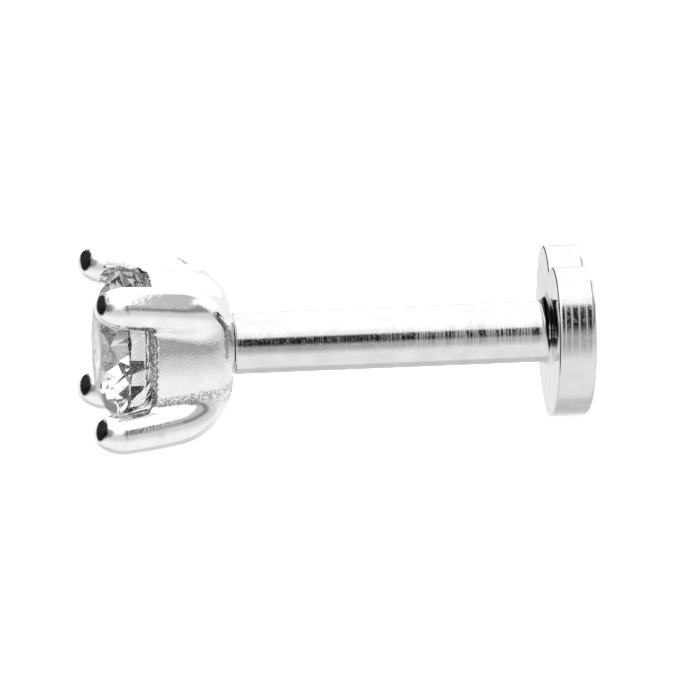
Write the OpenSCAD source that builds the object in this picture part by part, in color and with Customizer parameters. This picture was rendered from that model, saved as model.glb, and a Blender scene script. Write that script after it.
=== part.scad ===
/* [Stone] */
// Diameter of the round stone at its girdle
stone_d = 3; // [2:0.1:4]
// Table across its corners, as a share of the stone's diameter
table_share = 0.57; // [0.5:0.01:0.66]
// Slope of the crown's main facets, in degrees
crown_angle = 34; // [30:1:37]
// Slope of the pavilion's main facets, in degrees
pavilion_angle = 40.75; // [39:0.25:43]
// Height of the girdle's band at its widest places
girdle_t = 0.08; // [0.04:0.01:0.14]
// Diameter of the small flat on the stone's point
culet_d = 0.06; // [0.04:0.01:0.12]

/* [Setting] */
// Diameter of a claw at its round tip
claw_d = 0.82; // [0.6:0.02:1]
// Diameter of a claw where it starts to bend into the cup
claw_root_d = 0.9; // [0.8:0.02:1.1]
// Outward lean of the claws, in degrees
claw_lean = 10.5; // [4:0.5:14]
// How far each claw reaches in over the stone's girdle
claw_bite = 0.13; // [0.08:0.01:0.18]
// How far the claw tips stand in front of the table
claw_over = 0.215; // [0.15:0.005:0.4]
// Radius of the bend that carries a claw into the back of the cup
bend_r = 0.82; // [0.6:0.02:1.2]
// From the cup's rim back to where the claws start to bend
bend_back = 0.4; // [0.1:0.02:0.5]
// From the stone's girdle back to the cup's rim
rim_drop = 0.47; // [0.35:0.01:0.6]
// Thickness of the cup's rim
rim_wall = 0.35; // [0.2:0.01:0.45]
// Radius of the cup's round back edge
cup_round = 0.64; // [0.5:0.02:0.9]
// From the cup's back to the stone's point
floor_t = 0.76; // [0.6:0.02:1]
// Diameter of the low shoulder that faces the post
shoulder_d = 1.24; // [1:0.02:1.4]
// Height of the shoulder
shoulder_t = 0.05; // [0.03:0.01:0.1]
// Diameter of the hidden pin
pin_d = 0.7; // [0.5:0.02:0.8]
// Length of the pin inside the post
pin_l = 2; // [1:0.1:3]

/* [Post] */
// Diameter of the post, 16 gauge
post_d = 1.2; // [1.1:0.05:1.6]
// Length of the post from its open end to the heart
post_l = 6.15; // [5:0.05:12]
// Chamfer round the post's open end
post_chamfer = 0.03; // [0.02:0.01:0.08]
// Radius of the flare that joins the post to the heart
flare_r = 0.2; // [0.05:0.01:0.25]

/* [Heart] */
// Distance between the centres of the heart's two lobes
lobe_apart = 1.27; // [1.1:0.01:1.5]
// Height of the heart from its tip to the tops of its lobes
heart_h = 3.2; // [3:0.05:3.6]
// Thickness of the heart
heart_t = 0.75; // [0.5:0.05:1.2]
// Radius of each lobe
lobe_r = 0.88; // [0.8:0.02:1.1]
// Radius of the heart's rounded tip
tip_r = 0.3; // [0.2:0.05:0.5]
// Radius of the heart's long side curves
side_r = 1.87; // [1.8:0.01:2.6]
// Break of the heart's outer edge
heart_break = 0.1; // [0.04:0.01:0.15]

/* [Fits] */
// Gap between the stone and the claws
seat_gap = 0.02; // [0.01:0.01:0.04]
// Gap between the stone's pavilion and the inside of the cup
cup_gap = 0.12; // [0.06:0.01:0.2]
// Gap all round the pin in the post's hole
pin_gap = 0.03; // [0.02:0.01:0.05]
// Space left beyond the pin's end
pin_end_gap = 0.2; // [0.1:0.05:0.5]
// Gap between the shoulder and the post's end
end_gap = 0.03; // [0.02:0.01:0.06]

/* [Hidden] */
$fn = 64;

// Star facets reach this far from the table's edge to the girdle
star_share = 0.5;
// Lower girdle facets reach this far from the girdle to the culet
lower_share = 0.77;
// Facets are laid out on sixteen parts of the circle
facet_step = 22.5;
eighth_turn = 2 * facet_step;
girdle_points = 64;
claw_count = 4;
claw_turn = 45;

// The cut of the stone, in its own frame: girdle plane at 0 and crown up
stone_r = stone_d / 2;
table_r = table_share * stone_r;
crown_h = (stone_r - table_r) * tan(crown_angle);
pavilion_h = stone_r * tan(pavilion_angle);
culet_cut = culet_d / 2 * tan(pavilion_angle);
chord_r = stone_r * cos(facet_step / 2);
table_edge_r = table_r * cos(facet_step);
star_r = table_edge_r + star_share * (stone_r - table_edge_r);
star_z = (stone_r - star_r * cos(facet_step)) * tan(crown_angle);
upper_angle = atan2(star_z, chord_r - star_r * cos(facet_step / 2));
lower_r = (1 - lower_share) * stone_r;
lower_z = (stone_r - lower_r * cos(facet_step)) * tan(pavilion_angle);
lower_angle = atan2(lower_z, chord_r - lower_r * cos(facet_step / 2));

// Distances forward from the post's open end
cup_back = end_gap + shoulder_t;
stone_point = cup_back + floor_t;
stone_girdle = stone_point + pavilion_h;
stone_table = stone_girdle + girdle_t + crown_h;
claw_front = stone_table + claw_over;
rim_front = stone_girdle - rim_drop;
bend_front = rim_front - bend_back;
tip_front = claw_front - claw_d / 2;

// Claws: distances of their centre lines from the stud's axis
claw_girdle_r = stone_r + claw_d / 2 - claw_bite;
claw_tip_r = claw_girdle_r + (tip_front - stone_girdle) * tan(claw_lean);
claw_bend_r = claw_girdle_r - (stone_girdle - bend_front) * tan(claw_lean);
claw_straight = (tip_front - bend_front) / cos(claw_lean);

// Cup: its mouth clears the pavilion, and its wall stands outside the mouth
cup_gap_r = cup_gap / sin(pavilion_angle);
mouth_r = stone_r - rim_drop / tan(pavilion_angle) + cup_gap_r;
cup_r = mouth_r + rim_wall;

// Heart: its tip is as low as the lower claws, so that the stud lies level
rest_depth = claw_tip_r * sin(claw_turn) + claw_d / 2;
lobe_x = lobe_apart / 2;
lobe_z = heart_h - rest_depth - lobe_r;
tip_z = tip_r - rest_depth;

// Each side curve touches a lobe and the tip from outside. Its centre lies side_r - lobe_r from
// the lobe's centre and side_r - tip_r from the tip's, on the far side of the axis.
lobe_to_tip = norm([lobe_x, lobe_z - tip_z]);
side_from_lobe = ((side_r - lobe_r) ^ 2 - (side_r - tip_r) ^ 2 + lobe_to_tip ^ 2) / (2 * lobe_to_tip);
side_aside = sqrt((side_r - lobe_r) ^ 2 - side_from_lobe ^ 2);
down_x = -lobe_x / lobe_to_tip;
down_z = (tip_z - lobe_z) / lobe_to_tip;
side_x = lobe_x + side_from_lobe * down_x + side_aside * down_z;
side_z = lobe_z + side_from_lobe * down_z - side_aside * down_x;

bore_d = pin_d + 2 * pin_gap;
// The post and its flare run into the heart to half of its thickness
post_root = heart_t / 2;
total_l = claw_front + post_l + heart_t;
post_end_x = claw_front - total_l / 2;

// Lays what is drawn along +Z down along +X, with the post's open end at the start
module along_stud() {
    translate([post_end_x, 0, rest_depth]) rotate([90, 0, 90]) children();
}

// Turns the plane of X and Y into a plane through the axis: X runs along it, Y out from it
module through_axis() {
    rotate([-90, 0, 0]) rotate([0, 0, -90]) children();
}

// Point on a circle of radius r at height z
function on_ring(r, turn, z) = [r * cos(turn), r * sin(turn), z];

// How far a girdle point lies beyond the chord of its facet
function past_chord(turn) = stone_r * cos(turn % facet_step - facet_step / 2) - chord_r;

// The stone with its girdle's lower edge at 0 and its table up. The points lie in rings from the
// table down, and each eighth of the stone starts at the middle of a main facet.
module cut_stone() {
    eighths = [0:7];
    around = [0:girdle_points - 1];
    per_eighth = girdle_points / 8;
    table = 0;
    star = 8;
    top = 16;
    low = top + girdle_points;
    keel = low + girdle_points;
    culet = keel + 8;
    points = concat(
        [for (k = eighths) on_ring(table_r, eighth_turn * k, girdle_t + crown_h)],
        [for (k = eighths) on_ring(star_r, eighth_turn * k + facet_step, girdle_t + star_z)],
        [for (i = around) let (turn = 360 * i / girdle_points)
            on_ring(stone_r, turn, girdle_t - past_chord(turn) * tan(upper_angle))],
        [for (i = around) let (turn = 360 * i / girdle_points)
            on_ring(stone_r, turn, past_chord(turn) * tan(lower_angle))],
        [for (k = eighths) on_ring(lower_r, eighth_turn * k + facet_step, -lower_z)],
        [for (k = eighths) on_ring(culet_d / 2 / cos(facet_step), eighth_turn * k + facet_step, culet_cut - pavilion_h)]
    );
    faces = concat(
        [[for (k = eighths) table + 7 - k]],
        [for (k = eighths) [table + k, table + (k + 1) % 8, star + k]],
        [for (k = eighths) [table + k, star + k, top + per_eighth * k, star + (k + 7) % 8]],
        [for (k = eighths) for (half = [0, 1])
            concat([star + k], [for (j = [per_eighth / 2:-1:0])
                top + (per_eighth * k + half * per_eighth / 2 + j) % girdle_points])],
        [for (i = around) [top + i, top + (i + 1) % girdle_points, low + (i + 1) % girdle_points, low + i]],
        [for (k = eighths) for (half = [0, 1])
            concat([keel + k], [for (j = [0:per_eighth / 2])
                low + (per_eighth * k + half * per_eighth / 2 + j) % girdle_points])],
        [for (k = eighths) [low + per_eighth * k, keel + k, culet + k, culet + (k + 7) % 8, keel + (k + 7) % 8]],
        [[for (k = eighths) culet + k]]
    );
    polyhedron(points, faces, convexity = 2);
}

// Room that the stone takes in the claws, with its gap, in the stone's own frame
module stone_room() {
    rotate_extrude() polygon([
        [0, crown_h + girdle_t + claw_over + claw_d],
        [star_r + seat_gap, crown_h + girdle_t + claw_over + claw_d],
        [star_r + seat_gap, star_z + girdle_t + seat_gap],
        [stone_r + seat_gap, girdle_t + seat_gap],
        [stone_r + seat_gap, -seat_gap],
        [lower_r + seat_gap, -lower_z - seat_gap],
        [0, -lower_z - seat_gap]
    ]);
}

module round_stone() {
    color("aliceblue") along_stud() translate([0, 0, -stone_girdle]) rotate([180, 0, 0]) cut_stone();
}

// Outer form of the cup, with its round back edge and the shoulder
module cup_body() {
    rotate_extrude() {
        translate([0, -rim_front]) square([cup_r, rim_front - cup_back - cup_round]);
        translate([0, -cup_back - cup_round]) square([cup_r - cup_round, cup_round]);
        intersection() {
            translate([cup_r - cup_round, -cup_back - cup_round]) circle(r = cup_round);
            translate([0, -cup_back - cup_round]) square([cup_r, cup_round]);
        }
        translate([0, -cup_back - cup_round]) square([shoulder_d / 2, cup_round + shoulder_t]);
    }
}

// One claw: a round tip, a straight stretch, and a bend that runs into the cup's back
module claw() {
    through_axis() {
        translate([-tip_front, claw_tip_r]) sphere(d = claw_d);
        translate([-bend_front, claw_bend_r]) rotate([0, 0, 180 - claw_lean]) rotate([0, 90, 0])
            cylinder(h = claw_straight, d1 = claw_root_d, d2 = claw_d);
        translate([-bend_front - bend_r * sin(claw_lean), claw_bend_r - bend_r * cos(claw_lean)])
            rotate_extrude(angle = 90 - claw_lean) translate([bend_r, 0]) circle(d = claw_root_d);
    }
}

// Hollow of the cup: a cone that follows the pavilion, with its gap
module cup_hollow() {
    hollow_h = mouth_r * tan(pavilion_angle);
    translate([0, 0, -rim_front]) cylinder(h = hollow_h, r1 = mouth_r, r2 = 0);
    translate([0, 0, -claw_front]) cylinder(h = claw_front - rim_front, r = mouth_r);
}

module claw_setting() {
    color("gainsboro") along_stud() {
        difference() {
            union() {
                cup_body();
                for (k = [0:claw_count - 1])
                    rotate([0, 0, claw_turn + k * 360 / claw_count]) claw();
            }
            cup_hollow();
            translate([0, 0, -stone_girdle]) rotate([180, 0, 0]) stone_room();
        }
        translate([0, 0, -end_gap - shoulder_t]) cylinder(h = pin_l + end_gap + shoulder_t, d = pin_d);
    }
}

// A disc of the heart's thickness with its outer edge broken
module heart_round(r) {
    cylinder(h = heart_t - heart_break, r = r);
    translate([0, 0, heart_t - heart_break]) cylinder(h = heart_break, r1 = r, r2 = r - heart_break);
}

// The heart upright in the plane of X and Y: two lobes, a tip, and what lies within both side
// curves between them. Straight cuts from the lobes' and the tip's centres through the places
// where the curves touch keep the middle off the round ends. They run on to twice the side's
// radius, so that the line that joins them passes outside the curve.
module heart() {
    lobe_c = [lobe_x, lobe_z];
    tip_c = [0, tip_z];
    side_c = [side_x, side_z];
    past_lobe = side_c + (lobe_c - side_c) * 2 * side_r / (side_r - lobe_r);
    past_tip = side_c + (tip_c - side_c) * 2 * side_r / (side_r - tip_r);
    for (s = [-1, 1])
        translate([s * lobe_x, lobe_z]) heart_round(lobe_r);
    translate(tip_c) heart_round(tip_r);
    intersection() {
        translate(side_c) heart_round(side_r, $fn = 256);
        translate([-side_x, side_z]) heart_round(side_r, $fn = 256);
        linear_extrude(heart_t) polygon([
            [-lobe_c.x, lobe_c.y],
            [-past_lobe.x, past_lobe.y],
            [-past_tip.x, past_tip.y],
            tip_c,
            past_tip,
            past_lobe,
            lobe_c
        ]);
    }
}

module heart_back_post() {
    color("lightgray") along_stud() difference() {
        union() {
            rotate_extrude() {
                polygon([
                    [0, 0],
                    [post_d / 2 - post_chamfer, 0],
                    [post_d / 2, post_chamfer],
                    [post_d / 2, post_l + post_root],
                    [0, post_l + post_root]
                ]);
                difference() {
                    translate([0, post_l - flare_r]) square([post_d / 2 + flare_r, flare_r + post_root]);
                    translate([post_d / 2 + flare_r, post_l - flare_r]) circle(r = flare_r);
                }
            }
            translate([0, 0, post_l]) heart();
        }
        translate([0, 0, -end_gap]) cylinder(h = end_gap + pin_l + pin_end_gap, d = bore_d);
    }
}

round_stone();
claw_setting();
heart_back_post();
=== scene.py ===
import math
import bpy
import numpy as np
from mathutils import Matrix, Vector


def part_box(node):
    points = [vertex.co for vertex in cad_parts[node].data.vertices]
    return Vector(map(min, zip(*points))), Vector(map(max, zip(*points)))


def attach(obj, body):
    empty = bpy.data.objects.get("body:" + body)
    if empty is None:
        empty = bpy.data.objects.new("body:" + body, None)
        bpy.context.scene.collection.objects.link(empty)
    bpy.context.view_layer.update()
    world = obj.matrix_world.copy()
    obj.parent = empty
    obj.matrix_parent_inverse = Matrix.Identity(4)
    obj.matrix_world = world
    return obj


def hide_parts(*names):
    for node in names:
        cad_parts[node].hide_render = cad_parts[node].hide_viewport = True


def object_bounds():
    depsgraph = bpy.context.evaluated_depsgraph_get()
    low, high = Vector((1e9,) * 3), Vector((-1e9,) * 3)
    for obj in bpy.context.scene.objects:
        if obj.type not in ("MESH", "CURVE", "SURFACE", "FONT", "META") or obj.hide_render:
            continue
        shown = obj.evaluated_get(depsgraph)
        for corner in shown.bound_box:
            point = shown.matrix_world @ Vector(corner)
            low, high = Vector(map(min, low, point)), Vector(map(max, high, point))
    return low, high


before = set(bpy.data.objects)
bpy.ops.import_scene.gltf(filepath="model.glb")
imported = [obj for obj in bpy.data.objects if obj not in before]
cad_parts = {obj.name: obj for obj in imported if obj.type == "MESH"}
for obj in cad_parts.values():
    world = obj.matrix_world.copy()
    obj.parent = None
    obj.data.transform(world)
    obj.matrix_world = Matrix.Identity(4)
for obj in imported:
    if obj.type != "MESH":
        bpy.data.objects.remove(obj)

cad_low, cad_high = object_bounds()
MM = 0.001

# Round stone
# A clear cubic zirconia in a round brilliant cut, its facets flat and polished. It sits in the
# notches of the four claws, with its point down in the cup. The cut solid is shown as it is.


class Wire:
    """A shader socket that can be written into sums: each operator adds one Math node."""

    def __init__(self, tree, socket):
        self.tree = tree
        self.socket = socket

    def math(self, operation, *values):
        node = self.tree.nodes.new("ShaderNodeMath")
        node.operation = operation
        for slot, value in zip(node.inputs, values):
            if isinstance(value, Wire):
                self.tree.links.new(value.socket, slot)
            else:
                slot.default_value = value
        return Wire(self.tree, node.outputs[0])

    def __add__(self, other):
        return self.math("ADD", self, other)

    def __radd__(self, other):
        return self.math("ADD", other, self)

    def __sub__(self, other):
        return self.math("SUBTRACT", self, other)

    def __rsub__(self, other):
        return self.math("SUBTRACT", other, self)

    def __mul__(self, other):
        return self.math("MULTIPLY", self, other)

    def __pow__(self, other):
        return self.math("POWER", self, other)

    def between(self, low, high):
        """0 below low and 1 above high, with a smooth rise, or the other way round if low > high."""
        return Wire.node(self, "ShaderNodeMapRange", {"interpolation_type": "SMOOTHSTEP"},
                         {"Value": self, "From Min": low, "From Max": high})

    def node(self, kind, settings=None, inputs=None, output=0):
        """Any other node: its settings first, then the values or links of its sockets."""
        made = self.tree.nodes.new(kind)
        for name, value in (settings or {}).items():
            if name == "stops":
                ramp = made.color_ramp.elements
                for at, colour in zip(ramp, value[:2]):
                    at.position, at.color = colour[0], colour[1]
                for position, colour in value[2:]:
                    ramp.new(position).color = colour
            else:
                setattr(made, name, value)
        for name, value in (inputs or {}).items():
            slot = made.inputs[name]
            if isinstance(value, Wire):
                self.tree.links.new(value.socket, slot)
            else:
                slot.default_value = value
        return Wire(self.tree, made.outputs[output])


def finish_of(name):
    """A new material, its starting wire and a function that sets its shader's sockets."""
    material = bpy.data.materials.new(name)
    material.use_nodes = True
    tree = material.node_tree
    shader = tree.nodes["Principled BSDF"]
    start = Wire(tree, shader.outputs[0])

    def dress(**sockets):
        for key, value in sockets.items():
            slot = shader.inputs[key.replace("_", " ")]
            if isinstance(value, Wire):
                tree.links.new(value.socket, slot)
            else:
                slot.default_value = value

    return material, start, dress


def polished_zirconia():
    """Clear and colourless, with a trace of haze left by the polishing."""
    material, start, dress = finish_of("polished_zirconia")
    place = start.node("ShaderNodeTexCoord", output=3)
    haze = start.node("ShaderNodeTexNoise", {}, {"Vector": place, "Scale": 2200.0, "Detail": 3.0})
    dress(Base_Color=(1.0, 1.0, 1.0, 1.0), Transmission_Weight=0.975, IOR=2.16,
          Roughness=haze.between(0.45, 0.8) * 0.02)
    return material


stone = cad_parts["round_stone"]
stone.data.materials.clear()
stone.data.materials.append(polished_zirconia())

# Claw setting
# One steel casting: a cup with a round back and a low shoulder, and four round claws that run
# from the back of the cup past its rim to the stone. Polished outside, with the cast skin left
# in the hollows between the claws and painted shade darkening the creases there. A pin soldered
# in its back screws into the post.

stone_low, stone_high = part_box("round_stone")
setting_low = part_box("claw_setting")[0]
post_low, post_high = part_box("heart_back_post")
axis_z = (stone_low.z + stone_high.z) / 2
post_end_x = post_low.x

stone_r = 1.5
pavilion_slope = math.radians(40.75)
stone_girdle = 2.133
girdle_t = 0.08
star_r = 1.145
star_z = 0.3
seat_gap = 0.02
end_gap = 0.03
shoulder_t = 0.05
shoulder_r = 0.62
shoulder_in = 0.5
cup_r = 1.488
cup_round = 0.64
cup_lean = math.radians(3.6)
mouth_r = 1.138
rim_drop = 0.47
rim_front = stone_girdle - rim_drop
rim_rough = 0.012
rim_soft = 0.06
mouth_soft = 0.05
seat_soft = 0.02
claw_r = 0.41
claw_root_r = 0.45
claw_lean = math.radians(10.5)
claw_curve = math.radians(4)
claw_bite = 0.13
claw_girdle_r = stone_r + claw_r - claw_bite
tip_short = 0.006
tip_front = (post_end_x - setting_low.x) / MM - tip_short - claw_r
bend_back = 0.4
bend_front = rim_front - bend_back
bend_r = 0.82
pin_r = 0.35
pin_l = 2.0
rib_blend = 0.2
cup_back = end_gap + shoulder_t
far_off = 9.0


def soft_min(a, b, width):
    """The lower of a and b, with a round valley of the given width where they are alike."""
    h = np.clip(0.5 + 0.5 * (b - a) / width, 0, 1)
    return b + (a - b) * h - width * h * (1 - h)


def soft_max(a, b, width):
    """The higher of a and b, with a round ridge of the given width where they are alike."""
    return -soft_min(-a, -b, width)


def claw_distance(front, out, side):
    """Distance to a round bar in the plane of front (along the axis) and out (away from it). Its
    centre line is an arc that comes out of the cup's back, then a flat parabola that leans out
    less and less. The bar thins evenly towards its tip, which is half of an ellipsoid one and a
    half times as long as the bar's radius."""
    bend_out = claw_girdle_r - (stone_girdle - bend_front) * math.tan(claw_lean)
    tip_out = claw_girdle_r + (tip_front - stone_girdle) * math.tan(claw_lean)
    hub_f = bend_front + bend_r * math.sin(claw_lean)
    hub_o = bend_out - bend_r * math.cos(claw_lean)
    lean = claw_lean + claw_curve
    start_f = hub_f - bend_r * math.sin(lean)
    start_o = hub_o + bend_r * math.cos(lean)
    length = (tip_front - start_f) * math.cos(lean) + (tip_out - start_o) * math.sin(lean)
    drop = (tip_front - start_f) * math.sin(lean) - (tip_out - start_o) * math.cos(lean)
    along = (front - start_f) * math.cos(lean) + (out - start_o) * math.sin(lean)
    over = (out - start_o) * math.cos(lean) - (front - start_f) * math.sin(lean)
    share = np.clip(along / length, 0, 1.2)
    slope = 2 * drop * share / length
    from_line = np.sqrt((over + drop * share ** 2) ** 2 / (1 + slope ** 2) + side ** 2)
    before_tip = claw_r / 2
    past = np.maximum(along - length + before_tip, 0)
    radius = claw_root_r + (claw_r - claw_root_r) * np.clip(along / (length - before_tip), 0, 1)
    tip = (np.sqrt((from_line / claw_r) ** 2 + (past / (claw_r + before_tip)) ** 2) - 1) * claw_r
    bar = np.where(past > 0, tip, from_line - radius)
    bar = np.where(along < 0, far_off, bar)
    turn = np.clip(np.arctan2(hub_f - front, out - hub_o), lean, math.pi / 2)
    arc_f = hub_f - bend_r * np.sin(turn)
    arc_o = hub_o + bend_r * np.cos(turn)
    bent = np.sqrt((front - arc_f) ** 2 + (out - arc_o) ** 2 + side ** 2) - claw_root_r
    return np.minimum(bar, bent)


def casting_distance(points):
    """Signed distances to the casting and to its claws alone, in millimetres, below 0 inside. The
    cup is a round-cornered profile turned about the axis, with a ragged rim; the claws and the
    low shoulder join it softly, and the cup's hollow and the stone's room are taken out."""
    front = post_end_x / MM - points[..., 0]
    y = points[..., 1]
    z = points[..., 2] - axis_z / MM
    r = np.sqrt(y ** 2 + z ** 2)
    past_wall = r - (cup_r - cup_round) + np.clip(rim_front - front, 0, 1) * math.tan(cup_lean)
    past_back = cup_back + cup_round - front
    corner = np.sqrt(np.maximum(past_wall, 0) ** 2 + np.maximum(past_back, 0) ** 2)
    cup = corner + np.minimum(np.maximum(past_wall, past_back), 0) - cup_round
    round_axis = np.arctan2(y, z)
    ragged = rim_rough * (np.sin(round_axis * 61) + np.sin(round_axis * 97 + 1))
    cup = soft_max(cup, front - rim_front + ragged, rim_soft)
    claws = np.full_like(r, far_off)
    for claw_turn in (45, 135, 225, 315):
        c = math.cos(math.radians(claw_turn))
        s = math.sin(math.radians(claw_turn))
        claws = np.minimum(claws, claw_distance(front, y * c + z * s, z * c - y * s))
    body = soft_min(cup, claws, rib_blend)
    shoulder = np.maximum(np.maximum(r - shoulder_r, end_gap - front), front - shoulder_in)
    body = soft_min(body, shoulder, seat_soft)
    slope_c = math.cos(pavilion_slope)
    slope_s = math.sin(pavilion_slope)
    hollow = np.maximum((r - mouth_r) * slope_s + (rim_front - front) * slope_c, r - mouth_r)
    crown_slope = math.atan2(star_z, stone_r - star_r)
    crown = ((r - stone_r - seat_gap) * math.sin(crown_slope)
             + (front - stone_girdle - girdle_t - seat_gap) * math.cos(crown_slope))
    below = ((r - stone_r - seat_gap) * slope_s + (stone_girdle - seat_gap - front) * slope_c)
    room = np.maximum(np.maximum(crown, below), r - stone_r - seat_gap)
    body = soft_max(body, -hollow, mouth_soft)
    return soft_max(body, -room, seat_soft), claws


def skin_of(distance, low, high, step):
    """The surface where distance is 0. Each cell of a regular grid that the surface crosses gets
    one point, at the mean of its edges' crossings, and each grid edge that it crosses gets one
    four-sided face. The points are then moved along the distance's gradient onto the surface."""
    axes = [np.arange(a, b + step, step) for a, b in zip(low, high)]
    grid = np.stack(np.meshgrid(*axes, indexing="ij"), axis=-1)
    value = distance(grid)
    inside = value < 0
    shape = np.array(value.shape)
    total = np.zeros(tuple(shape - 1) + (3,))
    count = np.zeros(tuple(shape - 1))
    crossings = []
    for axis in range(3):
        near = [slice(None)] * 3
        far = [slice(None)] * 3
        near[axis] = slice(None, -1)
        far[axis] = slice(1, None)
        a = value[tuple(near)]
        b = value[tuple(far)]
        crossed = inside[tuple(near)] != inside[tuple(far)]
        share = np.where(crossed, a / np.where(crossed, a - b, 1), 0)
        place = grid[tuple(near)].copy()
        place[..., axis] += share * step
        u, v = [k for k in range(3) if k != axis]
        for du in (0, 1):
            for dv in (0, 1):
                part = [slice(None)] * 3
                part[u] = slice(du, shape[u] - 1 + du)
                part[v] = slice(dv, shape[v] - 1 + dv)
                hit = crossed[tuple(part)]
                total += place[tuple(part)] * hit[..., None]
                count += hit
        crossings.append((axis, u, v, crossed, inside[tuple(near)]))
    cells = count > 0
    number = np.full(cells.shape, -1)
    number[cells] = np.arange(cells.sum())
    points = total[cells] / count[cells][:, None]
    faces = []
    for axis, u, v, crossed, starts_inside in crossings:
        at = np.argwhere(crossed)
        at = at[(at[:, u] > 0) & (at[:, v] > 0)]
        flip = starts_inside[tuple(at.T)]
        # Across the middle axis the corners run the other way round
        if axis == 1:
            flip = ~flip
        corners = []
        for du, dv in ((1, 1), (0, 1), (0, 0), (1, 0)):
            cell = at.copy()
            cell[:, u] -= du
            cell[:, v] -= dv
            corners.append(number[tuple(cell.T)])
        quad = np.stack(corners, axis=1)
        quad[~flip] = quad[~flip][:, ::-1]
        faces.append(quad)
    probe = step * 0.1
    flattest = 0.25
    for _ in range(4):
        here = distance(points)
        rises = [distance(points + side) - distance(points - side) for side in probe * np.eye(3)]
        slope = np.stack(rises, axis=-1) / (2 * probe)
        steepness = np.maximum((slope ** 2).sum(axis=-1), flattest)
        points -= np.clip(here / steepness, -step, step)[:, None] * slope
    return points, np.concatenate(faces)


def mesh_piece(name, points, faces, material, crease=None):
    """A piece with its points in millimetres brought to metres, smooth-shaded, with the edges
    between faces that turn by more than crease degrees kept sharp."""
    mesh = bpy.data.meshes.new(name)
    mesh.from_pydata((points * MM).tolist(), [], faces.tolist() if hasattr(faces, "tolist") else faces)
    mesh.materials.append(material)
    mesh.polygons.foreach_set("use_smooth", np.ones(len(mesh.polygons), bool))
    if crease:
        mesh.set_sharp_from_angle(angle=math.radians(crease))
    mesh.update()
    piece = bpy.data.objects.new(name, mesh)
    bpy.context.scene.collection.objects.link(piece)
    return piece


def cast_steel():
    """Polished casting: faint grit all over, a rougher cast skin with darkened grains in it where the
    cup meets the claws and along its rim, and a few pits. The darkening is partly cast grit and
    partly painted shade, stronger on the underside."""
    material, start, dress = finish_of("cast_steel")
    place = start.node("ShaderNodeTexCoord", output=3)
    along = start.node("ShaderNodeSeparateXYZ", {}, {"Vector": place})
    hollow = start.node("ShaderNodeAttribute", {"attribute_name": "hollow"}, output=2)
    grit = start.node("ShaderNodeTexNoise", {}, {"Vector": place, "Scale": 21000.0, "Detail": 3.0})
    grains = start.node("ShaderNodeTexNoise", {}, {"Vector": place, "Scale": 33000.0, "Detail": 2.0})
    waves = start.node("ShaderNodeTexNoise", {}, {"Vector": place, "Scale": 3200.0, "Detail": 2.0})
    pits = start.node("ShaderNodeTexVoronoi", {}, {"Vector": place, "Scale": 7000.0})
    pit = pits.between(0.3, 0.08) * waves.between(0.54, 0.66)
    rim_x = post_end_x - rim_front * MM
    rim = along.between(rim_x + 0.14 * MM, rim_x + 0.02 * MM) * hollow
    corner = hollow * (1 - hollow) * 4
    up = Wire(along.tree, along.socket.node.outputs[2])
    # Painted shade: the darkening in the creases is weighted to the underside, 0.4 above the axis and 1
    # below it
    fade_half = 0.6 * MM
    below = up.between(axis_z + fade_half, axis_z - fade_half) * 0.6 + 0.4
    skin_and_shade_mask = corner.math("MAXIMUM", corner * below, rim * 0.5)
    relief = grit * (0.6 + hollow * 0.35 + skin_and_shade_mask * 2.2) + waves * 0.3 - pit * (0.2 + hollow)
    bump = start.node("ShaderNodeBump", {}, {"Strength": 1.0, "Distance": 0.000004, "Height": relief})
    # Grains darkened in the creases where the cup meets the claws, along the rim and in the pits: partly
    # cast grit, partly painted shade
    grit_and_painted_shade = grains.between(0.46, 0.56) * skin_and_shade_mask * waves.between(0.32, 0.48) + pit * hollow * 0.5
    shade = start.node("ShaderNodeValToRGB",
                       {"stops": [(0.0, (0.4, 0.4, 0.41, 1)), (0.3, (0.92, 0.92, 0.93, 1)),
                                  (0.65, (0.99, 0.99, 0.99, 1))]},
                       {"Fac": waves - grit_and_painted_shade * 0.8})
    dress(Base_Color=shade, Metallic=1.0, Normal=bump,
          Roughness=0.05 + hollow * 0.15 + grit.between(0.4, 0.8) * 0.05)
    return material


def whole_casting(points):
    """Signed distance to the casting alone."""
    return casting_distance(points)[0]


grid_step = 0.032
room_ahead = 0.1
room_round = claw_girdle_r + 0.65
skin, skin_faces = skin_of(
    whole_casting,
    (setting_low.x / MM - room_ahead, -room_round, axis_z / MM - room_round),
    (post_end_x / MM + room_ahead, room_round, axis_z / MM + room_round),
    grid_step,
)
setting_steel = cast_steel()
casting = mesh_piece("setting_casting", skin, skin_faces, setting_steel)

# How far each point lies in a hollow: 0 on the claws and inside the cup, 1 on the bare cup
from_claws = casting_distance(skin)[1]
from_axis = np.hypot(skin[:, 1], skin[:, 2] - axis_z / MM)
behind_mouth = rim_front - cup_round - (post_end_x / MM - skin[:, 0])
from_mouth = np.maximum(from_axis - mouth_r, behind_mouth)
mouth_edge = 0.06
mouth_fade = 0.08
claw_edge = 0.01
claw_fade = 0.22
outside = np.clip((from_mouth - mouth_edge) / mouth_fade, 0, 1)
hollow = np.clip((from_claws - claw_edge) / claw_fade, 0, 1) * outside
hollow_values = casting.data.attributes.new("hollow", "FLOAT", "POINT").data
hollow_values.foreach_set("value", hollow.astype(np.float32))
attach(casting, "root")
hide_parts("claw_setting")


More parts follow.
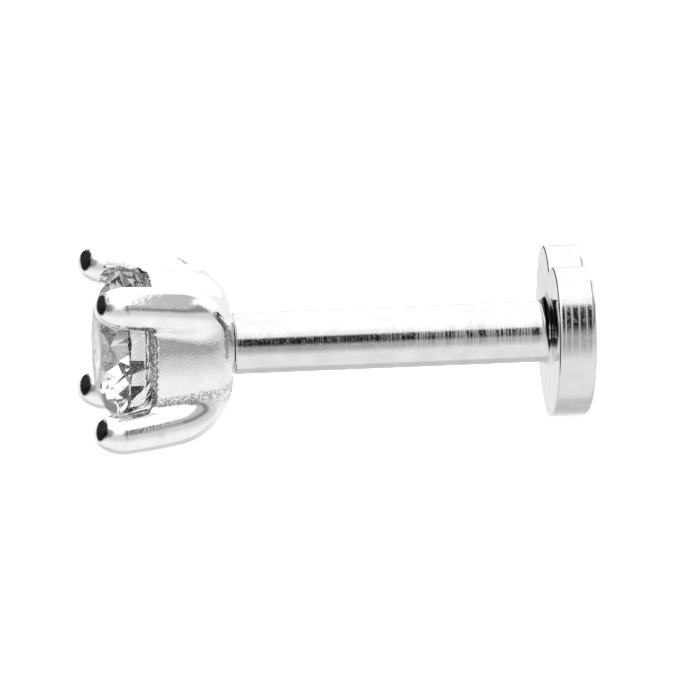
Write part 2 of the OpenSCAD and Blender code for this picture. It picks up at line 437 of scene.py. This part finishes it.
def turned(profile, ring):
    """A closed skin of revolution about the stud's axis, with ring points round it: profile is a
    list of (distance along the stud from the post's open end, radius), starting and ending on
    the axis."""
    along = np.array([p[0] for p in profile])
    radius = np.array([p[1] for p in profile])
    turn = np.arange(ring) * 2 * math.pi / ring
    x = post_end_x / MM + np.repeat(along[1:-1, None], ring, axis=1)
    y = radius[1:-1, None] * np.cos(turn)
    z = axis_z / MM + radius[1:-1, None] * np.sin(turn)
    points = np.stack([x, y, z], axis=-1).reshape(-1, 3)
    ends = [[post_end_x / MM + along[k], 0, axis_z / MM] for k in (0, -1)]
    points = np.concatenate([points, ends])
    rows = np.arange((len(profile) - 3) * ring).reshape(-1, ring)
    faces = np.stack([rows, rows + ring, np.roll(rows + ring, -1, axis=1), np.roll(rows, -1, axis=1)],
                     axis=-1).reshape(-1, 4).tolist()
    first = np.arange(ring)
    last = first + (len(profile) - 3) * ring
    start_point = len(points) - 2
    faces += [[start_point, int(a), int(b)] for a, b in zip(first, np.roll(first, -1))]
    faces += [[start_point + 1, int(b), int(a)] for a, b in zip(last, np.roll(last, -1))]
    return points, faces


def pin_steel_painted_dark():
    """Unpolished steel coloured near black as painted shade, seen only as a dark line in the seam
    between the setting and the post.
    """
    material, start, dress = finish_of("pin_steel_painted_dark")
    place = start.node("ShaderNodeTexCoord", output=3)
    grain = start.node("ShaderNodeTexNoise", {}, {"Vector": place, "Scale": 15000.0, "Detail": 2.0})
    # Painted shade: a near-black colour that stands in for the shade in the seam
    shade = start.node("ShaderNodeValToRGB",
                       {"stops": [(0.3, (0.08, 0.08, 0.085, 1)), (0.7, (0.16, 0.16, 0.16, 1))]},
                       {"Fac": grain})
    dress(Base_Color=shade, Metallic=1.0, Roughness=0.4 + grain * 0.2)
    return material


pin_root = -0.2
pin_point = 0.05
pin_ring = 64
pin_profile = [(pin_root, 0), (pin_root, pin_r), (pin_l - pin_point, pin_r), (pin_l, pin_r - pin_point),
               (pin_l, 0)]
pin = mesh_piece("setting_pin", *turned(pin_profile, pin_ring), pin_steel_painted_dark(), crease=30)
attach(pin, "root")
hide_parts("claw_setting")

# Heart-backed post
# A turned steel post with a blind hole in its open end, flared at the other end into a flat
# heart. The heart's outer edge is rounded over and its inner edge only broken. Fine cutter marks
# run round the post and the heart's wall, and a dark crescent on top of the flare is a painted
# reflection.

heart_t = 0.75
post_r = 0.6
post_l = (post_high.x - post_low.x) / MM - heart_t
post_chamfer = 0.03
pin_gap = 0.03
pin_end_gap = 0.2
bore_r = pin_r + pin_gap
bore_depth = pin_l + pin_end_gap
flare_r = 0.2
heart_round = 0.1
inner_break = 0.05
lobe_r = 0.88
tip_r = 0.3
side_r = 1.87
lobe_out = 0.635
lobe_up = post_high.z / MM - axis_z / MM - lobe_r
tip_down = tip_r - axis_z / MM
outline_points = 720
turning_pitch = 0.063 * MM


def heart_reach(turn, inset):
    """How far the heart's outline, drawn in by inset, lies from the post's axis at each angle
    from the upright. It is a lobe's circle above, the tip's circle below, and between them a
    large circle that both touch from inside."""
    across = np.abs(np.sin(turn))
    upward = np.cos(turn)
    gap = math.hypot(lobe_out, lobe_up - tip_down)
    along_gap = ((side_r - lobe_r) ** 2 - (side_r - tip_r) ** 2 + gap ** 2) / (2 * gap)
    aside = math.sqrt((side_r - lobe_r) ** 2 - along_gap ** 2)
    side_out = lobe_out - (along_gap * lobe_out + aside * (lobe_up - tip_down)) / gap
    side_up = lobe_up - (along_gap * (lobe_up - tip_down) - aside * lobe_out) / gap

    def circle(out, up, radius):
        """How far a circle with its centre at (out, up) reaches from the axis at each angle."""
        near = across * out + upward * up
        return near + np.sqrt(np.maximum(near ** 2 - out ** 2 - up ** 2 + radius ** 2, 0))

    side = circle(side_out, side_up, side_r - inset)
    seen = np.arctan2(side * upward - side_up, side * across - side_out)
    at_lobe = math.atan2(lobe_up - side_up, lobe_out - side_out)
    at_tip = math.atan2(tip_down - side_up, -side_out)
    lobe = circle(lobe_out, lobe_up, lobe_r - inset)
    tip = circle(0, tip_down, tip_r - inset)
    return np.where(seen > at_lobe, lobe, np.where(seen < at_tip, tip, side))


def arc(centre, radius, start, stop, steps):
    """Points (along, out) on an arc in the plane through the axis, between two angles in degrees."""
    turn = np.radians(np.linspace(start, stop, steps))
    return [(centre[0] + radius * c, centre[1] + radius * s) for c, s in zip(np.cos(turn), np.sin(turn))]


def heart_post_rings():
    """The rings of the whole piece from the bottom of its hole to the rim of its outer face. Each
    is (distance along, radius of a circle or None, inset of the outline, share of the way from
    the flare's circle to the outline). A close ring on each side of an edge keeps it crisp."""
    rings = []
    hold = 0.012
    wall_hold = 0.02
    ring_room = 0.2
    post_ring_count = 40
    inner_face = (0.02, 0.25, 0.5, 0.75, 0.96)

    def circles(points):
        """Adds plain circles, each given as (distance along, radius)."""
        rings.extend((a, r, 0.0, 0.0) for a, r in points)

    circles([(bore_depth, bore_r - hold), (bore_depth, bore_r), (bore_depth - hold, bore_r)])
    circles([(a, bore_r) for a in np.linspace(bore_depth - ring_room, hold, 6)])
    circles([(0, bore_r), (0, bore_r + hold)])
    circles([(0, post_r - post_chamfer - hold), (0, post_r - post_chamfer)])
    circles([(post_chamfer, post_r), (post_chamfer + hold, post_r)])
    post_stop = post_l - flare_r - ring_room / 2
    circles([(a, post_r) for a in np.linspace(ring_room, post_stop, post_ring_count)])
    circles(arc((post_l - flare_r, post_r + flare_r), flare_r, -90, 0, 14))
    for share in inner_face:
        rings.append((post_l, None, inner_break, share))
    for turn in np.linspace(0, math.pi / 2, 4):
        rise = inner_break * (1 - math.cos(turn))
        rings.append((post_l + rise, None, inner_break * (1 - math.sin(turn)), 1.0))
    wall_start = post_l + inner_break + wall_hold
    wall_end = post_l + heart_t - heart_round - wall_hold
    for a in np.linspace(wall_start, wall_end, 8):
        rings.append((a, None, 0.0, 1.0))
    for turn in np.linspace(0, math.pi / 2, 11):
        drop = heart_round * (1 - math.sin(turn))
        rings.append((post_l + heart_t - drop, None, heart_round * (1 - math.cos(turn)), 1.0))
    return rings


def heart_post_skin():
    """One closed skin: the rings side by side, with one small many-sided face in the middle of
    the hole's bottom and another in the middle of the heart's outer face."""
    turn = np.arange(outline_points) * 2 * math.pi / outline_points
    flare_out = post_r + flare_r
    rows = []
    for along, radius, inset, share in heart_post_rings():
        out = heart_reach(turn, inset) if radius is None else np.full_like(turn, radius)
        out = flare_out + (out - flare_out) * share if radius is None else out
        rows.append((along, out))
    outer_face = (0.985, 0.75, 0.5, 0.25, 0.05)
    hole_bottom = 0.3
    last = rows[-1][1]
    for share in outer_face:
        rows.append((rows[-1][0], last * share))
    rows.insert(0, (bore_depth, np.full_like(turn, bore_r * hole_bottom)))
    x = post_end_x / MM + np.array([a for a, _ in rows])[:, None] + np.zeros_like(turn)
    y = np.array([out for _, out in rows]) * np.sin(turn)
    z = axis_z / MM + np.array([out for _, out in rows]) * np.cos(turn)
    points = np.stack([x, y, z], axis=-1).reshape(-1, 3)
    n = outline_points
    grid = np.arange((len(rows) - 1) * n).reshape(-1, n)
    faces = np.stack([grid, np.roll(grid, -1, axis=1), np.roll(grid + n, -1, axis=1), grid + n],
                     axis=-1).reshape(-1, 4).tolist()
    faces.append(list(range(n))[::-1])
    last_row = (len(rows) - 1) * n
    faces.append([last_row + k for k in range(n)])
    return points, faces


def turned_steel():
    """Turned and polished: fine marks round the post that grow towards the heart, evenly spaced
    rings on its last millimetre, four fine dull rings on the heart's wall a little above the
    axis, a few specks, and a painted dark reflection on top of the flare."""
    material, start, dress = finish_of("turned_steel")
    place = start.node("ShaderNodeTexCoord", output=3)
    along = start.node("ShaderNodeSeparateXYZ", {}, {"Vector": place})
    up = Wire(along.tree, along.socket.node.outputs[2])
    round_it = start.node("ShaderNodeVectorMath", {"operation": "MULTIPLY"},
                          {0: place, 1: (1.0, 0.04, 0.04)})
    fine = start.node("ShaderNodeTexNoise", {}, {"Vector": round_it, "Scale": 26000.0, "Detail": 2.0})
    broad = start.node("ShaderNodeTexNoise", {}, {"Vector": place, "Scale": 2500.0, "Detail": 2.0})
    specks = start.node("ShaderNodeTexNoise", {}, {"Vector": place, "Scale": 16000.0, "Detail": 2.0})
    heart_x = post_end_x + post_l * MM
    flare_x = heart_x - flare_r * MM
    on_post = along.between(heart_x, flare_x)
    from_middle = along.between(post_end_x + 2.4 * MM, heart_x - 1.8 * MM) * on_post
    near_heart = along.between(heart_x - 1.5 * MM, heart_x - 1.1 * MM) * on_post
    waving = (along * (2 * math.pi / turning_pitch) + broad * 5.0).math("SINE")
    thread = waving.between(0.35, 0.95) * near_heart
    marks = fine.between(0.52, 0.6) * from_middle
    groove_half = 0.025 * MM

    def groove(share):
        """A fine ring on the heart's wall at a share of its thickness, drawn only as dullness."""
        middle = heart_x + share * heart_t * MM
        return along.between(middle - groove_half, middle) * along.between(middle + groove_half, middle)

    grooves = groove(0.17) + groove(0.33) + groove(0.52) + groove(0.72)
    upper_wall = up.between(axis_z - 0.1 * MM, axis_z + 0.4 * MM)
    grooves = grooves * upper_wall * up.between(axis_z + 1.2 * MM, axis_z + 0.9 * MM)
    relief = (fine.between(0.45, 0.65) * (0.08 + from_middle * 0.2) + thread * 0.2
              + specks.between(0.55, 0.75) * 0.18)
    bump = start.node("ShaderNodeBump", {}, {"Strength": 1.0, "Distance": 0.0000025, "Height": relief})
    shade = start.node("ShaderNodeValToRGB",
                       {"stops": [(0.35, (0.77, 0.77, 0.78, 1)), (0.7, (0.85, 0.85, 0.85, 1))]},
                       {"Fac": broad})
    # Painted reflection: a near-black crescent on the upper part of the flare, broken up by fine noise
    on_flare = (along.between(flare_x, flare_x + 0.06 * MM)
                * along.between(heart_x + 0.01 * MM, heart_x - 0.03 * MM))
    painted_crescent = (on_flare * up.between(axis_z + 0.08 * MM, axis_z + 0.32 * MM)
             * (1 - fine.between(0.5, 0.6) * 0.7))
    painted_crescent_colour = (0.05, 0.05, 0.05, 1)
    colour = start.node("ShaderNodeMix", {"data_type": "RGBA"}, {0: painted_crescent, 6: shade, 7: painted_crescent_colour}, 2)
    dress(Base_Color=colour, Metallic=1.0, Normal=bump,
          Roughness=0.05 + marks * 0.12 + thread * 0.16 + grooves * 0.4)
    return material


heart_post = mesh_piece("heart_and_post", *heart_post_skin(), turned_steel(), crease=28)
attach(heart_post, "root")
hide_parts("heart_back_post")

# Floor
# A pale matt sheet that the stud lies on, lit from beneath so that its shadow stays faint, and
# wide enough to fill every view. The steel mirrors the lower half of the tent in its place.

floor_half = 120.0


def pale_sheet():
    """White paper, lit from beneath."""
    material, _, dress = finish_of("pale_sheet")
    dress(Base_Color=(0.95, 0.95, 0.95, 1.0), Roughness=0.9, Specular_IOR_Level=0.1,
          Emission_Color=(1.0, 1.0, 1.0, 1.0), Emission_Strength=0.55)
    return material


square = np.array([[-1.0, -1.0, 0.0], [1.0, -1.0, 0.0], [1.0, 1.0, 0.0], [-1.0, 1.0, 0.0]])
corners = square * floor_half
corners[:, 2] = cad_low[2] / MM
floor = mesh_piece("floor_sheet", corners, np.array([[0, 1, 2, 3]]), pale_sheet())
floor.visible_glossy = False
floor.visible_transmission = False

# Camera
# Seen from the side, from a little towards the stone's end and from above, through a very long
# lens that is turned by half a degree, with the whole stud in view.

camera_turn = math.radians(-8.0)
camera_rise = math.radians(20)
camera_roll = math.radians(0.445)
camera_far = 0.4
pixels_per_mm = 51.777
image_width = 678
aim_along = 0.062 * MM
aim_up = 0.008 * MM
image_centre = np.array([aim_along, 0.0, axis_z + aim_up])
backward = np.array([math.sin(camera_turn) * math.cos(camera_rise),
                     -math.cos(camera_turn) * math.cos(camera_rise),
                     math.sin(camera_rise)])
level = np.array([math.cos(camera_turn), math.sin(camera_turn), 0.0])
upright = np.cross(backward, level)
sideways = level * math.cos(camera_roll) + upright * math.sin(camera_roll)
upwards = upright * math.cos(camera_roll) - level * math.sin(camera_roll)
scene = bpy.context.scene
camera = bpy.data.objects.new("photo_camera", bpy.data.cameras.new("photo_camera"))
scene.collection.objects.link(camera)
place = np.eye(4)
place[:3, :3] = np.stack([sideways, upwards, backward], axis=1)
place[:3, 3] = image_centre + camera_far * backward
camera.matrix_world = Matrix(place.tolist())
camera.data.clip_start = 0.01
camera.data.angle = 2 * math.atan(image_width / 2 / (pixels_per_mm / MM * camera_far))
scene.camera = camera
scene.view_settings.view_transform = "Standard"

# Studio light
# A white tent. Its near side is greyer and has a dark band at the height of the lens, nearly
# black in one narrow strip, with a grey wall to its right. Beyond the stone's end stand a dark
# opening and a soft dark card. A lamp above lights the floor, and no surface mirrors it.

world = bpy.data.worlds.new("white_tent")
scene.world = world
world.use_nodes = True
tent = world.node_tree
sky = Wire(tent, tent.nodes["Background"].outputs[0])
toward = sky.node("ShaderNodeTexCoord", output=0)
to_parts = sky.node("ShaderNodeSeparateXYZ", {}, {"Vector": toward}).socket.node
to_right = Wire(tent, to_parts.outputs[0])
to_far = Wire(tent, to_parts.outputs[1])
height = Wire(tent, to_parts.outputs[2])

# The opening is placed by the way that a polished surface must face to mirror it to the lens
opening_aside = -0.57
opening_raised = 0.2
opening_dark = 0.98
halfway = sky.node("ShaderNodeVectorMath", {"operation": "ADD"}, {0: toward, 1: tuple(backward)})
facing = sky.node("ShaderNodeVectorMath", {"operation": "NORMALIZE"}, {0: halfway})
aside = sky.node("ShaderNodeVectorMath", {"operation": "DOT_PRODUCT"},
                 {0: facing, 1: tuple(level)}, 1)
raised = sky.node("ShaderNodeVectorMath", {"operation": "DOT_PRODUCT"},
                  {0: facing, 1: tuple(upright)}, 1)
opening_size = ((aside - opening_aside) * 4.4) ** 2.0 + ((raised - opening_raised) * 1.7) ** 2.0
opening = opening_size.between(1.45, 0.85)

# The walls are worked out by how far each direction points to the right, to the far side and up
near_light = 0.66
near_floor_light = 0.92
far_light = 0.9
grey_light = 0.53
strip = to_right.between(0.185, 0.145) * to_right.between(0.075, 0.115)
low_wall = near_light - strip * 0.24
near_side = low_wall + height.between(-0.1, -0.62) * (near_floor_light - low_wall)
near_side = near_side + height.between(0.05, 0.66) * 0.6 + height.between(0.66, 0.95) * 0.22
grey_wall = (to_right.between(0.3, 0.36) * to_right.between(0.8, 0.62) * height.between(0.3, 0.42)
             * to_far.between(0.45, 0.3))
band = (height.between(-0.04, 0.24) * height.between(0.66, 0.5) * to_right.between(-0.14, 0.04)
        * to_far.between(0.0, -0.25))
far_side = far_light - height.between(-0.5, -0.9) * 0.26 + height.between(0.0, 0.35) * 0.35
is_far = to_far.between(-0.15, 0.15)
band_dark = 0.5 + strip * 0.48 + to_right.between(0.27, 0.33) * 0.2
walls = near_side * (1 - band * band_dark) * (1 - is_far) + far_side * is_far
walls = walls * (1 - grey_wall) + grey_wall * grey_light

# The card darkens some of the stone's facets
card_right = -0.66
card_far = -0.6
card_height = 0.3
card_dark = 0.7
card_size = (((to_right - card_right) * 3.2) ** 2.0 + ((to_far - card_far) * 3.2) ** 2.0
             + ((height - card_height) * 2.2) ** 2.0)
card = card_size.between(1.4, 0.2)
brightness = walls * (1 - opening * opening_dark) * (1 - card * card_dark)
light_colour = sky.node("ShaderNodeCombineColor", {},
                        {"Red": brightness, "Green": brightness, "Blue": brightness})
tent.links.new(light_colour.socket, tent.nodes["Background"].inputs["Color"])
tent.nodes["Background"].inputs["Strength"].default_value = 1.0

lamp = bpy.data.objects.new("floor_lamp", bpy.data.lights.new("floor_lamp", "AREA"))
lamp_size = 0.3
lamp_power = 3.0
lamp_height = 0.25
lamp.data.size = lamp_size
lamp.data.energy = lamp_power
lamp.location = (0, 0, lamp_height)
lamp.visible_camera = False
lamp.visible_glossy = False
lamp.visible_transmission = False
scene.collection.objects.link(lamp)
